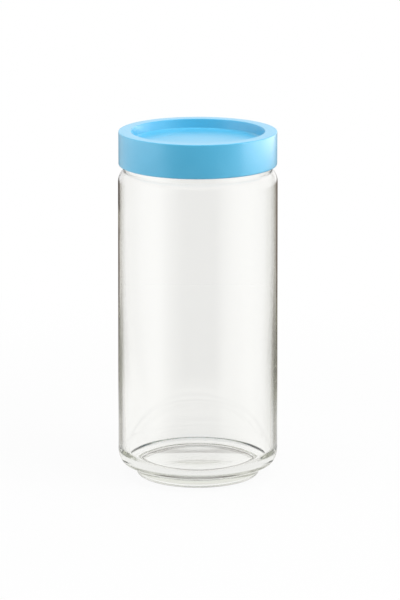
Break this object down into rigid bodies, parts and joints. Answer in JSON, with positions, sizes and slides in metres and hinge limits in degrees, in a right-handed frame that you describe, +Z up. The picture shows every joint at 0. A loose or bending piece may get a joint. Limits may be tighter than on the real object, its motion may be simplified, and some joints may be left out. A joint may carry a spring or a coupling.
{
  "type": "storage jar",
  "caption": "Tall clear glass storage jar with a rounded shoulder, a narrower stacking foot and a sky-blue push-on plastic lid with a soft seal ring and a recess for the foot of another jar.",
  "frame": {"origin": "centre of the ring that the jar stands on", "axes": "+Z up along the jar's axis, from the foot to the lid; the jar is round, so +X and +Y are any two square directions across it"},
  "size_m": [0.09, 0.09, 0.196],
  "materials": {
    "clear_glass": "clear, polished",
    "sky_blue_plastic": "satin",
    "milky_silicone": "matt, translucent white"
  },
  "bodies": {
    "jar": {"glass_jar": "clear_glass"},
    "seal": {"seal_ring": "milky_silicone"},
    "lid": {"lid": "sky_blue_plastic"}
  },
  "joints": [
    {"name": "lid_lift", "type": "slide", "parent": "jar", "child": "seal", "axis": [0, 0, 1], "range_m": [0, 0.06]},
    {"name": "lid_turn", "type": "hinge", "parent": "seal", "child": "lid", "pos_m": [0, 0, 0.194], "axis": [0, 0, 1], "continuous": true}
  ]
}
